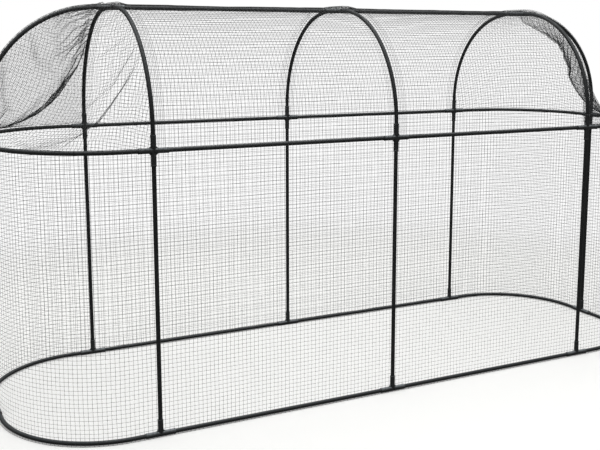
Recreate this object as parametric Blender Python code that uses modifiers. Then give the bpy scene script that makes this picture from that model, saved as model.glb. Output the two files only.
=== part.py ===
"""Fruit cage: a frame of steel tubes pushed into moulded sleeve fittings, under a net cover.

Metres, +Z up. X runs along the cage, Y across it, and the near side is -Y. The origin is on the
ground, under the middle of the cage.
"""

import math

import bmesh
import bpy
from mathutils import Matrix, Vector

# Steel tube
TUBE_RADIUS = 0.0095
TUBE_WALL = 0.001
BEVEL_STEPS = 2
BEND_STEPS = 6

# Frame, to the tubes' centre lines
HALF_WIDTH = 0.600
BAY_LENGTH = 1.164
END_REACH = 0.584
WALL_HEIGHT = 1.2255
ARCH_RISE = 0.591

# Moulded fittings
SLEEVE_WALL = 0.0025
SLEEVE_LENGTH = 0.065
SLEEVE_SIDES = 8
HUB_WALL = 0.0057
SOCKET_CLEARANCE = 0.0003
WEB_LEG = 0.0074
WEB_THICKNESS = 0.008
CUT_OVERRUN = 0.002

# Straight length of a bent tube beyond the mouth of its sleeve
RING_RUN_OUT = 0.052
ARCH_RUN_OUT = 0.003

# Net cover
NET_CORD = 0.003
NET_SPACING = 0.32
NET_GROUND_GAP = 0.002
CORD_BOW = 0.0035
DOME_DROOP = 0.0002
DOME_GRID = 24
RELAX_STEPS = 400
OUTLINE_STEPS = 48

# Between any two pieces, and between mesh corners that are one corner
SEAT_GAP = 0.0003
MERGE_DISTANCE = 0.0001
SMOOTH_ANGLE = math.radians(40)
QUARTER_TURN = math.radians(90)

# Finishes, as linear colours
STEEL_COLOUR = (0.012, 0.013, 0.013)
STEEL_ROUGHNESS = 0.42
PLASTIC_COLOUR = (0.014, 0.015, 0.015)
PLASTIC_ROUGHNESS = 0.55
CORD_COLOUR = (0.020, 0.022, 0.023)
CORD_ROUGHNESS = 0.7

# Sizes that follow from those above
SOCKET_RADIUS = TUBE_RADIUS + SOCKET_CLEARANCE
SLEEVE_RADIUS = SOCKET_RADIUS + SLEEVE_WALL
SOCKET_FLOOR = SOCKET_RADIUS + HUB_WALL
TUBE_SETBACK = SOCKET_FLOOR + SEAT_GAP
WEB_REACH = 2 * SLEEVE_RADIUS + WEB_LEG
RING_STRAIGHT = SLEEVE_LENGTH + RING_RUN_OUT
ARCH_STRAIGHT = SLEEVE_LENGTH + ARCH_RUN_OUT
BASE_Z = SLEEVE_RADIUS
EAVES_Z = BASE_Z + WALL_HEIGHT
RIDGE_Z = EAVES_Z + ARCH_RISE
NET_OFFSET = SLEEVE_RADIUS + SEAT_GAP + NET_CORD / 2
ROUND_NET_OFFSET = NET_OFFSET + CORD_BOW
SEAM_LIFT = SLEEVE_RADIUS
PANEL_EDGE = SEAT_GAP / 2
DOME_EDGE = SEAT_GAP + NET_CORD / 2

X = Vector((1, 0, 0))
Y = Vector((0, 1, 0))
Z = Vector((0, 0, 1))
SIDES = {"near": -1, "far": 1}
ENDS = {"left": -1, "right": 1}
STATIONS = {"left": -BAY_LENGTH, "middle": 0.0, "right": BAY_LENGTH}


def clear_scene():
    """Remove whatever the file opened with."""
    for thing in list(bpy.data.objects):
        bpy.data.objects.remove(thing, do_unlink=True)


def new_collection(name):
    """Add a collection to the scene."""
    collection = bpy.data.collections.new(name)
    bpy.context.scene.collection.children.link(collection)
    return collection


def new_material(name, colour, roughness, metallic):
    """Make a Principled material."""
    material = bpy.data.materials.new(name)
    material.use_nodes = True
    shader = material.node_tree.nodes["Principled BSDF"]
    shader.inputs["Base Color"].default_value = (*colour, 1.0)
    shader.inputs["Roughness"].default_value = roughness
    shader.inputs["Metallic"].default_value = metallic
    return material


def placement(origin, x_axis, y_axis):
    """Matrix that puts local X and Y along two axes at right angles, at an origin."""
    matrix = Matrix.Identity(4)
    for column, axis in enumerate((x_axis, y_axis, x_axis.cross(y_axis))):
        for row in range(3):
            matrix[row][column] = axis[row]
    matrix.translation = origin
    return matrix


def add_piece(name, data, material, matrix, collection):
    """Put mesh or curve data in the scene as a named piece."""
    if not data.materials:
        data.materials.append(material)
    piece = bpy.data.objects.new(name, data)
    piece.matrix_world = matrix
    collection.objects.link(piece)
    return piece


# Tubes


def add_tube(name, points, matrix, material, collection):
    """Hollow round tube along local points, open at both ends."""
    curve = bpy.data.curves.new(name, "CURVE")
    curve.dimensions = "3D"
    curve.bevel_depth = TUBE_RADIUS
    curve.bevel_resolution = BEVEL_STEPS
    curve.resolution_u = 1
    curve.use_fill_caps = False
    spline = curve.splines.new("POLY")
    spline.points.add(len(points) - 1)
    for place, point in zip(spline.points, points):
        place.co = (*point, 1.0)
    spline.use_smooth = True
    tube = add_piece(name, curve, material, matrix, collection)
    wall = tube.modifiers.new("wall", "SOLIDIFY")
    wall.thickness = TUBE_WALL
    wall.offset = -1.0
    return tube


def add_straight_tube(name, start, end, material, collection):
    """Straight tube between two fittings' centres, set back to their socket floors."""
    run = Vector(end) - Vector(start)
    along = run.normalized()
    across = Z.cross(along) if abs(along.z) < abs(along.x) + abs(along.y) else Y
    points = [(TUBE_SETBACK, 0, 0), (run.length - TUBE_SETBACK, 0, 0)]
    matrix = placement(Vector(start), along, across)
    return add_tube(name, points, matrix, material, collection)


def bend_points(reach_x, reach_y, straight, steps, setback=0.0, offset=0.0):
    """Quarter bend from the X axis to the Y axis round the origin, with straight ends.

    The bend can stop short of both axes by a setback, and can be carried outwards by an offset.
    """
    radius_x = reach_x - straight
    radius_y = reach_y - straight
    points = [(reach_x + offset, setback)]
    for step in range(steps + 1):
        angle = QUARTER_TURN * step / steps
        normal = Vector((math.cos(angle) / radius_x, math.sin(angle) / radius_y)).normalized()
        points.append(
            (
                straight + radius_x * math.cos(angle) + offset * normal.x,
                straight + radius_y * math.sin(angle) + offset * normal.y,
            )
        )
    points.append((setback, reach_y + offset))
    return points


def add_bent_tube(name, reach_x, reach_y, straight, matrix, material, collection):
    """Quarter-bent tube between two fittings, set back to their socket floors."""
    flat = bend_points(reach_x, reach_y, straight, BEND_STEPS, setback=TUBE_SETBACK)
    points = [(x, y, 0) for x, y in flat]
    return add_tube(name, points, matrix, material, collection)


def add_ring(prefix, height, material, collection):
    """Ring of four straight rails and four quarter bends, at one height."""
    for side, across in SIDES.items():
        for end, along in ENDS.items():
            corner = Vector((along * BAY_LENGTH, across * HALF_WIDTH, height))
            middle = Vector((0, across * HALF_WIDTH, height))
            add_straight_tube(f"{prefix}_rail_{side}_{end}", middle, corner, material, collection)
            centre = Vector((along * BAY_LENGTH, 0, height))
            if along * across > 0:
                matrix = placement(centre, along * X, across * Y)
                reaches = END_REACH, HALF_WIDTH
            else:
                matrix = placement(centre, across * Y, along * X)
                reaches = HALF_WIDTH, END_REACH
            add_bent_tube(
                f"{prefix}_bend_{side}_{end}", *reaches, RING_STRAIGHT, matrix, material, collection
            )


def add_posts(material, collection):
    """Upright tubes from the base fittings to the eaves fittings."""
    for name, x, y in perimeter_stations():
        base = Vector((x, y, BASE_Z))
        eaves = Vector((x, y, EAVES_Z))
        add_straight_tube(f"post_{name}", base, eaves, material, collection)


def add_arches(material, collection):
    """Three cross arches, each of two bent halves that meet at the ridge."""
    for station, x in STATIONS.items():
        for side, across in SIDES.items():
            matrix = placement(Vector((x, 0, EAVES_Z)), across * Y, Z)
            add_bent_tube(
                f"arch_{side}_{station}",
                HALF_WIDTH,
                ARCH_RISE,
                ARCH_STRAIGHT,
                matrix,
                material,
                collection,
            )


def add_ridge(material, collection):
    """Two ridge rails and the two end hoops that carry the line down to the eaves."""
    for end, along in ENDS.items():
        middle = Vector((0, 0, RIDGE_Z))
        last = Vector((along * BAY_LENGTH, 0, RIDGE_Z))
        add_straight_tube(f"ridge_rail_{end}", middle, last, material, collection)
        matrix = placement(Vector((along * BAY_LENGTH, 0, EAVES_Z)), along * X, Z)
        add_bent_tube(
            f"end_hoop_{end}", END_REACH, ARCH_RISE, ARCH_STRAIGHT, matrix, material, collection
        )


def perimeter_stations():
    """Name and plan position of each of the eight fittings round a ring."""
    places = [
        (f"{side}_{station}", x, across * HALF_WIDTH)
        for side, across in SIDES.items()
        for station, x in STATIONS.items()
    ]
    places += [(f"end_{end}", along * (BAY_LENGTH + END_REACH), 0.0) for end, along in ENDS.items()]
    return places


# Fittings


def add_cylinder(bm, radius_to_flats, start, end, direction):
    """Capped cylinder between two distances along a direction, a flat of it facing each axis."""
    turn = math.pi / SLEEVE_SIDES
    corner_radius = radius_to_flats / math.cos(turn)
    matrix = (
        Vector(direction).to_track_quat("Z", "Y").to_matrix().to_4x4()
        @ Matrix.Rotation(turn, 4, "Z")
        @ Matrix.Translation((0, 0, (start + end) / 2))
    )
    bmesh.ops.create_cone(
        bm,
        cap_ends=True,
        segments=SLEEVE_SIDES,
        radius1=corner_radius,
        radius2=corner_radius,
        depth=end - start,
        matrix=matrix,
    )


def add_web(bm, half_only):
    """Flat web that fills the corners between the sleeves, or its upper half."""
    made = bmesh.ops.create_cone(
        bm,
        cap_ends=True,
        segments=4,
        radius1=WEB_REACH,
        radius2=WEB_REACH,
        depth=WEB_THICKNESS,
        matrix=Matrix.Rotation(QUARTER_TURN, 4, "X"),
    )
    if half_only:
        corners = made["verts"]
        edges = {edge for corner in corners for edge in corner.link_edges}
        faces = {face for corner in corners for face in corner.link_faces}
        cut = bmesh.ops.bisect_plane(
            bm,
            geom=[*corners, *edges, *faces],
            plane_co=(0, 0, 0),
            plane_no=(0, 0, 1),
            clear_inner=True,
        )
        rim = [part for part in cut["geom_cut"] if isinstance(part, bmesh.types.BMEdge)]
        bmesh.ops.contextual_create(bm, geom=rim)


def solid_from(draw, name, collection):
    """Object with the mesh that a drawing function fills, kept out of the render."""
    bm = bmesh.new()
    draw(bm)
    bmesh.ops.recalc_face_normals(bm, faces=bm.faces)
    mesh = bpy.data.meshes.new(name)
    bm.to_mesh(mesh)
    bm.free()
    solid = bpy.data.objects.new(name, mesh)
    solid.hide_render = True
    solid.display_type = "WIRE"
    collection.objects.link(solid)
    return solid


def fitting_mesh(name, arms, workshop):
    """Mesh of one moulded fitting: a sleeve along each arm, a web between them, blind sockets."""
    has_lower_arm = -Z in arms
    run_start = -SLEEVE_LENGTH
    body = solid_from(
        lambda bm: add_cylinder(bm, SLEEVE_RADIUS, run_start, SLEEVE_LENGTH, X), name, workshop
    )
    stem_start = run_start if has_lower_arm else 0.0
    stem = solid_from(
        lambda bm: add_cylinder(bm, SLEEVE_RADIUS, stem_start, SLEEVE_LENGTH, Z),
        name + "_stem",
        workshop,
    )
    web = solid_from(lambda bm: add_web(bm, not has_lower_arm), name + "_web", workshop)

    def draw_sockets(bm):
        for arm in arms:
            add_cylinder(bm, SOCKET_RADIUS, SOCKET_FLOOR, SLEEVE_LENGTH + CUT_OVERRUN, arm)

    sockets = solid_from(draw_sockets, name + "_sockets", workshop)
    for tool, operation in ((stem, "UNION"), (web, "UNION"), (sockets, "DIFFERENCE")):
        step = body.modifiers.new(tool.name, "BOOLEAN")
        step.object = tool
        step.operation = operation
        step.solver = "EXACT"
    bpy.context.view_layer.update()
    depsgraph = bpy.context.evaluated_depsgraph_get()
    mesh = bpy.data.meshes.new_from_object(body.evaluated_get(depsgraph))
    mesh.name = name
    for tool in (body, stem, web, sockets):
        bpy.data.objects.remove(tool, do_unlink=True)
    mesh.shade_smooth()
    mesh.set_sharp_from_angle(angle=SMOOTH_ANGLE)
    return mesh


def add_fittings(material, workshop, collection):
    """Base tees, eaves crosses and ridge crosses."""
    tee = fitting_mesh("tee", [X, -X, Z], workshop)
    cross = fitting_mesh("cross", [X, -X, Z, -Z], workshop)
    for name, x, y in perimeter_stations():
        run = Y if name.startswith("end") else X
        for prefix, mesh, height in (("base_tee", tee, BASE_Z), ("eaves_cross", cross, EAVES_Z)):
            matrix = placement(Vector((x, y, height)), run, Z.cross(run))
            add_piece(f"{prefix}_{name}", mesh, material, matrix, collection)
    for station, x in STATIONS.items():
        matrix = placement(Vector((x, 0, RIDGE_Z)), X, Z)
        add_piece(f"ridge_cross_{station}", cross, material, matrix, collection)


# Net cover


def line_length(points):
    """Length of a line of points."""
    return sum((Vector(b) - Vector(a)).length for a, b in zip(points, points[1:]))


def walk(points, distances):
    """Points at rising distances along a line of points."""
    points = [Vector(point) for point in points]
    passed = [0.0]
    for last, point in zip(points, points[1:]):
        passed.append(passed[-1] + (point - last).length)
    places = []
    leg = 0
    for distance in distances:
        while leg < len(points) - 2 and passed[leg + 1] < distance:
            leg += 1
        share = (distance - passed[leg]) / (passed[leg + 1] - passed[leg])
        places.append(points[leg].lerp(points[leg + 1], min(share, 1.0)))
    return places


def walk_evenly(points, count):
    """Points at equal steps along a line of points, ends included."""
    length = line_length(points)
    return walk(points, [length * step / count for step in range(count + 1)])


def cells_along(length):
    """Number of net cells that fit a length."""
    return max(1, round(length / NET_SPACING))


def paired_cells(length):
    """Even number of net cells that fit a length, so that one cord runs down its middle."""
    return 2 * cells_along(length / 2)


def cord_steps(cell, bend_radius):
    """Straight stretches that a cord needs in a cell to keep within its bow of a bend."""
    longest = 2 * math.sqrt(2 * bend_radius * CORD_BOW)
    return math.ceil(cell / longest)


def net_bend(reach_x, reach_y, straight, setback_x, setback_y):
    """Quarter bend of the net over a bent tube, as (x, y), from the X axis to the Y axis."""
    points = bend_points(reach_x, reach_y, straight, OUTLINE_STEPS, offset=ROUND_NET_OFFSET)
    points[0] = (points[0][0], setback_y)
    points[-1] = (setback_x, points[-1][1])
    return points


def cord_layout(length, cells, steps):
    """Lines across a panel: the two edges of each cord, and steps of the cell between them.

    Gives each line's distance, and for each space between two lines whether it is cord.
    """
    pitch = (length - NET_CORD) / cells
    gap = pitch - NET_CORD
    lines = [0.0, NET_CORD]
    is_cord = [True]
    for cell in range(cells):
        start = cell * pitch + NET_CORD
        for step in range(1, steps + 1):
            lines.append(start + gap * step / steps)
            is_cord.append(False)
        lines.append(start + gap + NET_CORD)
        is_cord.append(True)
    return lines, is_cord


def lattice(columns_are_cord, rows_are_cord, place):
    """Open lattice on a grid, each corner put in place by a function of column and row."""
    columns = len(columns_are_cord)
    rows = len(rows_are_cord)
    bm = bmesh.new()
    bmesh.ops.create_grid(bm, x_segments=columns, y_segments=rows, size=1.0)
    column_of = {v: round((v.co.x + 1.0) / 2 * columns) for v in bm.verts}
    row_of = {v: round((v.co.y + 1.0) / 2 * rows) for v in bm.verts}
    openings = [
        face
        for face in bm.faces
        if not columns_are_cord[min(column_of[v] for v in face.verts)]
        and not rows_are_cord[min(row_of[v] for v in face.verts)]
    ]
    for corner in bm.verts:
        corner.co = place(column_of[corner], row_of[corner])
    bmesh.ops.delete(bm, geom=openings, context="FACES")
    return bm


def add_net(name, bm, material, collection, mirror=False):
    """Net panel: the drawn lattice, as thick as a cord."""
    mesh = bpy.data.meshes.new(name)
    bm.to_mesh(mesh)
    bm.free()
    panel = add_piece(name, mesh, material, Matrix.Identity(4), collection)
    if mirror:
        other_half = panel.modifiers.new("other half", "MIRROR")
        other_half.use_axis = (False, True, False)
        other_half.merge_threshold = MERGE_DISTANCE
    cords = panel.modifiers.new("cords", "SOLIDIFY")
    cords.thickness = NET_CORD
    cords.offset = 0.0
    cords.use_even_offset = True
    return panel


def add_wall_net(name, plan, bend_radius, material, collection):
    """Upright net panel over a line of plan points, which is straight or has a bend."""
    low = NET_GROUND_GAP
    high = EAVES_Z + SEAM_LIFT - PANEL_EDGE
    length = line_length(plan)
    cells = paired_cells(length)
    steps = cord_steps(length / cells, bend_radius) if bend_radius else 1
    columns, column_is_cord = cord_layout(length, cells, steps)
    rows, row_is_cord = cord_layout(high - low, cells_along(high - low), 1)
    places = walk(plan, columns)

    def place(column, row):
        return (places[column].x, places[column].y, low + rows[row])

    add_net(name, lattice(column_is_cord, row_is_cord, place), material, collection)


def add_wall_nets(material, collection):
    """Two flat side walls and two rounded end walls."""
    reach = BAY_LENGTH - PANEL_EDGE
    for side, across in SIDES.items():
        y = across * (HALF_WIDTH + NET_OFFSET)
        plan = [(-reach, y, 0), (reach, y, 0)]
        add_wall_net(f"net_wall_{side}", plan, None, material, collection)
    quarter = net_bend(END_REACH, HALF_WIDTH, RING_STRAIGHT, PANEL_EDGE, 0.0)
    bend_radius = min(END_REACH, HALF_WIDTH) - RING_STRAIGHT
    for end, along in ENDS.items():
        near = [(along * (BAY_LENGTH + x), -y, 0) for x, y in reversed(quarter)]
        far = [(along * (BAY_LENGTH + x), y, 0) for x, y in quarter]
        add_wall_net(f"net_wall_{end}", near + far[1:], bend_radius, material, collection)


def add_roof_net(material, collection):
    """Net panel over the three arches, from eaves to eaves."""
    quarter = net_bend(HALF_WIDTH, ARCH_RISE, ARCH_STRAIGHT, 0.0, SEAM_LIFT + PANEL_EDGE)
    near = [(0, -y, EAVES_Z + z) for y, z in quarter]
    far = [(0, y, EAVES_Z + z) for y, z in reversed(quarter)]
    profile = near + far[1:]
    length = 2 * (BAY_LENGTH - PANEL_EDGE)
    around = line_length(profile)
    cells = paired_cells(around)
    steps = cord_steps(around / cells, min(HALF_WIDTH, ARCH_RISE) - ARCH_STRAIGHT)
    columns, column_is_cord = cord_layout(length, paired_cells(length), 1)
    rows, row_is_cord = cord_layout(around, cells, steps)
    places = walk(profile, rows)

    def place(column, row):
        return (columns[column] - length / 2, places[row].y, places[row].z)

    add_net("net_roof", lattice(column_is_cord, row_is_cord, place), material, collection)


def settled_dome():
    """Half a dome of net as a grid of points, drawn in between the tubes that hold it.

    Row 0 runs down the arch and column 0 down the end hoop. The other two sides share the
    ring. The points settle where a slack net does, each a little below the middle of its
    neighbours.
    """
    foot = SEAM_LIFT + DOME_EDGE
    arch = net_bend(HALF_WIDTH, ARCH_RISE, ARCH_STRAIGHT, 0.0, foot)
    hoop = net_bend(END_REACH, ARCH_RISE, ARCH_STRAIGHT, DOME_EDGE, foot)
    ring = net_bend(END_REACH, HALF_WIDTH, RING_STRAIGHT, DOME_EDGE, 0.0)
    down_arch = walk_evenly([(DOME_EDGE, -y, z) for y, z in reversed(arch)], DOME_GRID)
    down_hoop = walk_evenly([(x, 0, z) for x, z in reversed(hoop)], DOME_GRID)
    round_ring = walk_evenly([(x, -y, foot) for x, y in reversed(ring)], 2 * DOME_GRID)
    points = {}
    for step in range(DOME_GRID + 1):
        points[step, 0] = down_arch[step]
        points[0, step] = down_hoop[step]
        points[DOME_GRID, step] = round_ring[step]
        points[step, DOME_GRID] = round_ring[2 * DOME_GRID - step]
    free = [(c, r) for c in range(1, DOME_GRID) for r in range(1, DOME_GRID)]
    for column, row in free:
        points[column, row] = (points[column, 0] + points[0, row]) / 2
    droop = DOME_DROOP * Z
    for _ in range(RELAX_STEPS):
        for c, r in free:
            total = points[c - 1, r] + points[c + 1, r] + points[c, r - 1] + points[c, r + 1]
            points[c, r] = total / 4 - droop
    return points, line_length(down_arch)


def between(points, across, down):
    """Point at a share of the settled grid's two ways."""
    across *= DOME_GRID
    down *= DOME_GRID
    column = min(int(across), DOME_GRID - 1)
    row = min(int(down), DOME_GRID - 1)
    upper = points[column, row].lerp(points[column + 1, row], across - column)
    lower = points[column, row + 1].lerp(points[column + 1, row + 1], across - column)
    return upper.lerp(lower, down - row)


def dome_lattice(points, length, along):
    """Lattice over the near half of the dome at one end, which its sign along X picks."""
    cells = cells_along(length)
    steps = cord_steps(length / cells, min(END_REACH, ARCH_RISE) - ARCH_STRAIGHT)
    lines, is_cord = cord_layout(length, cells, steps)

    def place(column, row):
        point = between(points, lines[column] / length, lines[row] / length)
        return (along * (BAY_LENGTH + point.x), point.y, EAVES_Z + point.z)

    return lattice(is_cord, is_cord, place)


def add_dome_nets(material, collection):
    """Net panel over each rounded end of the roof: a settled half and its mirror image."""
    points, length = settled_dome()
    for end, along in ENDS.items():
        bm = dome_lattice(points, length, along)
        add_net(f"net_dome_{end}", bm, material, collection, mirror=True)


def main():
    """Build the cage."""
    clear_scene()
    cage = new_collection("fruit_cage")
    workshop = new_collection("cutters")
    steel = new_material("powder_coated_steel", STEEL_COLOUR, STEEL_ROUGHNESS, 0.0)
    plastic = new_material("moulded_plastic", PLASTIC_COLOUR, PLASTIC_ROUGHNESS, 0.0)
    twine = new_material("net_cord", CORD_COLOUR, CORD_ROUGHNESS, 0.0)
    add_ring("base", BASE_Z, steel, cage)
    add_posts(steel, cage)
    add_ring("eaves", EAVES_Z, steel, cage)
    add_arches(steel, cage)
    add_ridge(steel, cage)
    add_fittings(plastic, workshop, cage)
    add_wall_nets(twine, cage)
    add_roof_net(twine, cage)
    add_dome_nets(twine, cage)


main()
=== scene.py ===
"""Fruit cage dressed for its picture: steel tubes in moulded sleeve fittings, under a fine net.

Metres, +Z up. X runs along the cage, Y across it, and the near side is -Y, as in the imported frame.
"""

import logging
import math
from collections.abc import Callable, Iterator
from dataclasses import dataclass, replace
from enum import Enum

import bmesh
import bpy
import numpy as np
from bmesh.types import BMEdge, BMesh, BMVert
from bpy.types import ID, Material, Mesh, Node, NodeSocket, NodeTree, Object, World
from mathutils import Matrix, Vector, noise


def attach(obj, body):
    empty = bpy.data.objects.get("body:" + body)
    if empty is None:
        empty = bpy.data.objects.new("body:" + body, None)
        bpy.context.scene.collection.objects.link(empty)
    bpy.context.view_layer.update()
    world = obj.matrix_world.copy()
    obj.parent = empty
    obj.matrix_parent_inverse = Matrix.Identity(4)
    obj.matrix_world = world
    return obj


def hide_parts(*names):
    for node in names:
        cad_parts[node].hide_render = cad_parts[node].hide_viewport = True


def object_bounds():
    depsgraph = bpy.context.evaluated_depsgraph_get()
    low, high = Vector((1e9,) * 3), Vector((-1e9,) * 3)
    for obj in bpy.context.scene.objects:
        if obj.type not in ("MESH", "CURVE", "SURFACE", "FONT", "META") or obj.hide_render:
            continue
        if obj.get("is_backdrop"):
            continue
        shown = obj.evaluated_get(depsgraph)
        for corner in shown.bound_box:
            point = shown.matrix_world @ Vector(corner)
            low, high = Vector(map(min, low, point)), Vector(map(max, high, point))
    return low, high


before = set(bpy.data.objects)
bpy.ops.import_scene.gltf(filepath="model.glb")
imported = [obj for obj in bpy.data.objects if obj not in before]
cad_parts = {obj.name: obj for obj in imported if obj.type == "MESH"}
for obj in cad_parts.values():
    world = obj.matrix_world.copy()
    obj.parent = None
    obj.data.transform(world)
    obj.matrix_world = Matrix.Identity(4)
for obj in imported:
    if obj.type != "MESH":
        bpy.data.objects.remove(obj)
CAD_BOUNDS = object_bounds()

LOG = logging.getLogger("fruit_cage")
MM = 0.001
WELD = 0.05 * MM
QUARTER = math.pi / 2
BODY = "root"
STRAY_SEED = 7
WHITE = "#ffffff"
# A mix node's sockets for colours, which share their names with its other sockets
MIX_SHARE, MIX_FIRST, MIX_SECOND, MIX_RESULT = 0, 6, 7, 2
X = Vector((1.0, 0.0, 0.0))
Y = Vector((0.0, 1.0, 0.0))
Z = Vector((0.0, 0.0, 1.0))


class Place(Enum):
    """A place on the cage."""

    @property
    def word(self) -> str:
        """The place's word in a node's name."""
        return self.name.lower()


class Side(Place):
    """The two long sides, as signs along Y."""

    NEAR = -1
    FAR = 1


class End(Place):
    """The two rounded ends, as signs along X."""

    LEFT = -1
    RIGHT = 1


class Station(Place):
    """The three arches, as signs along X."""

    LEFT = -1
    MIDDLE = 0
    RIGHT = 1


class Slot(Enum):
    """The record's material slots."""

    TUBE = "tube"
    FITTING = "fitting"
    NET = "net"


# Shared helpers


def linear(colour: str) -> tuple[float, float, float, float]:
    """Turn an sRGB hex colour into the linear one that a shader takes.

    Args:
        colour: Six hex digits after a hash sign.

    Returns:
        Linear red, green and blue, and an alpha of 1.
    """
    shares = [int(colour[place : place + 2], 16) / 255 for place in (1, 3, 5)]
    red, green, blue = (
        share / 12.92 if share <= 0.04045 else ((share + 0.055) / 1.055) ** 2.4 for share in shares
    )
    return red, green, blue, 1.0


def add_node(
    tree: NodeTree, kind: str, settings: dict | None = None, inputs: dict | None = None
) -> Node:
    """Add a node with its settings and links.

    Args:
        tree: The node tree that takes the node.
        kind: The node's type name.
        settings: Values of the node's own properties.
        inputs: A value or an output socket for each named or numbered input.

    Returns:
        The new node.
    """
    node = tree.nodes.new(kind)
    for name, value in (settings or {}).items():
        setattr(node, name, value)
    for name, value in (inputs or {}).items():
        if isinstance(value, NodeSocket):
            tree.links.new(value, node.inputs[name])
        else:
            node.inputs[name].default_value = value
    return node


def mesh_from(bm: BMesh, name: str) -> Mesh:
    """Turn a finished bmesh into a mesh and free it.

    Args:
        bm: The bmesh, which can't be used afterwards.
        name: The mesh's name.

    Returns:
        The mesh.
    """
    mesh = bpy.data.meshes.new(name)
    bm.to_mesh(mesh)
    bm.free()
    return mesh


def add_object(name: str, data: ID) -> Object:
    """Put a new object in the scene.

    Args:
        name: The object's name.
        data: Its mesh, light or camera.

    Returns:
        The object.
    """
    made = bpy.data.objects.new(name, data)
    bpy.context.scene.collection.objects.link(made)
    return made


def add_piece(name: str, mesh: Mesh, material: Material, slot: Slot, *nodes: str) -> Object:
    """Put a finished mesh in the scene, in the place of the CAD nodes that it stands for.

    Args:
        name: The piece's name.
        mesh: Its mesh, in place.
        material: Its finish.
        slot: The record's slot that the finish belongs to; not used.
        *nodes: The CAD nodes that the piece replaces.

    Returns:
        The piece.
    """
    piece = add_object(name, mesh)
    mesh.materials.append(material)
    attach(piece, BODY)
    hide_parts(*nodes)
    return piece


# Finishes


@dataclass(frozen=True)
class Dust:
    """Painted light from above, with some fine garden dust: what faces up is painted a paler, greyer
    line.

    Tilt is the upward part of the surface's direction where it starts and where it is full.
    """

    colour: str
    share: float
    tilt: tuple[float, float] = (0.1, 0.9)

    def over(self, tree: NodeTree, coat: NodeSocket) -> NodeSocket:
        """Lay the dust and the painted top light over a coat.

        Args:
            tree: The material's node tree.
            coat: The coat's colour.

        Returns:
            The colour with its dust and painted light.
        """
        normal = add_node(tree, "ShaderNodeNewGeometry").outputs["Normal"]
        facing = add_node(tree, "ShaderNodeSeparateXYZ", inputs={0: normal})
        # Painted light: the more a surface faces up, the more pale grey it gets, as if lit from
        # above
        painted_top_light = add_node(
            tree,
            "ShaderNodeMapRange",
            inputs={
                "Value": facing.outputs["Z"],
                "From Min": self.tilt[0],
                "From Max": self.tilt[1],
                "To Max": self.share,
            },
        )
        dust_and_light_colour = add_node(
            tree,
            "ShaderNodeMix",
            {"data_type": "RGBA"},
            {
                MIX_SHARE: painted_top_light.outputs["Result"],
                MIX_FIRST: coat,
                MIX_SECOND: linear(self.colour),
            },
        )
        return dust_and_light_colour.outputs[MIX_RESULT]


@dataclass(frozen=True)
class Finish:
    """What every finish has: two tones that drift into each other, and a fine relief."""

    name: str
    tones: tuple[str, str]
    drift: float
    drift_detail: float
    relief: float
    relief_height: float
    roughness: float
    index: float
    relief_strength: float = 1.0
    dust: Dust | None = None

    def pattern(self, tree: NodeTree, place: NodeSocket) -> NodeSocket:
        """Draw the height of the relief, from 0 to 1, in object coordinates."""
        raise NotImplementedError

    def material(self) -> Material:
        """Make the finish as a procedural material.

        Returns:
            The material.
        """
        material = bpy.data.materials.new(self.name)
        material.use_nodes = True
        tree = material.node_tree
        shader = tree.nodes["Principled BSDF"]
        place = add_node(tree, "ShaderNodeTexCoord").outputs["Object"]
        drift = add_node(
            tree,
            "ShaderNodeTexNoise",
            {"name": "drift"},
            {"Vector": place, "Scale": 1 / self.drift, "Detail": self.drift_detail},
        )
        first, second = (linear(tone) for tone in self.tones)
        colour = add_node(
            tree,
            "ShaderNodeMix",
            {"data_type": "RGBA"},
            {MIX_SHARE: drift.outputs["Fac"], MIX_FIRST: first, MIX_SECOND: second},
        ).outputs[MIX_RESULT]
        # Painted light from above, with some dust, laid over the tones
        if self.dust:
            colour = self.dust.over(tree, colour)
        relief = add_node(
            tree,
            "ShaderNodeBump",
            inputs={
                "Height": self.pattern(tree, place),
                "Distance": self.relief_height,
                "Strength": self.relief_strength,
            },
        )
        shader.inputs["IOR"].default_value = self.index
        shader.inputs["Roughness"].default_value = self.roughness
        tree.links.new(colour, shader.inputs["Base Color"])
        tree.links.new(relief.outputs["Normal"], shader.inputs["Normal"])
        return material


@dataclass(frozen=True)
class PowderCoatedSteel(Finish):
    """Black polyester powder coat, sprayed and baked on mild steel tube.

    It gives a satin black with a faint orange peel, and a thin grey on what faces up: painted light
    from above, with some dust.
    """

    name: str = "powder_coated_steel"
    tones: tuple[str, str] = ("#101213", "#181b1c")
    drift: float = 60 * MM
    drift_detail: float = 3.0
    drift_range: tuple[float, float] = (0.3, 0.7)
    relief: float = 2.2 * MM
    relief_height: float = 0.05 * MM
    relief_detail: float = 2.0
    relief_strength: float = 0.6
    roughness: float = 0.42
    worn_roughness: float = 0.54
    index: float = 1.45
    # Painted light: the tops of the tubes are painted a paler grey, with some dust
    dust: Dust | None = Dust("#505456", 0.7)

    def pattern(self, tree: NodeTree, place: NodeSocket) -> NodeSocket:
        """Draw the orange peel."""
        peel = {"Vector": place, "Scale": 1 / self.relief, "Detail": self.relief_detail}
        return add_node(tree, "ShaderNodeTexNoise", inputs=peel).outputs["Fac"]

    def material(self) -> Material:
        """Make the finish, with a sheen that drifts as its tone does.

        Returns:
            The material.
        """
        material = super().material()
        tree = material.node_tree
        sheen = add_node(
            tree,
            "ShaderNodeMapRange",
            inputs={
                "Value": tree.nodes["drift"].outputs["Fac"],
                "From Min": self.drift_range[0],
                "From Max": self.drift_range[1],
                "To Min": self.roughness,
                "To Max": self.worn_roughness,
            },
        )
        shader = tree.nodes["Principled BSDF"]
        tree.links.new(sheen.outputs["Result"], shader.inputs["Roughness"])
        return material


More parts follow.
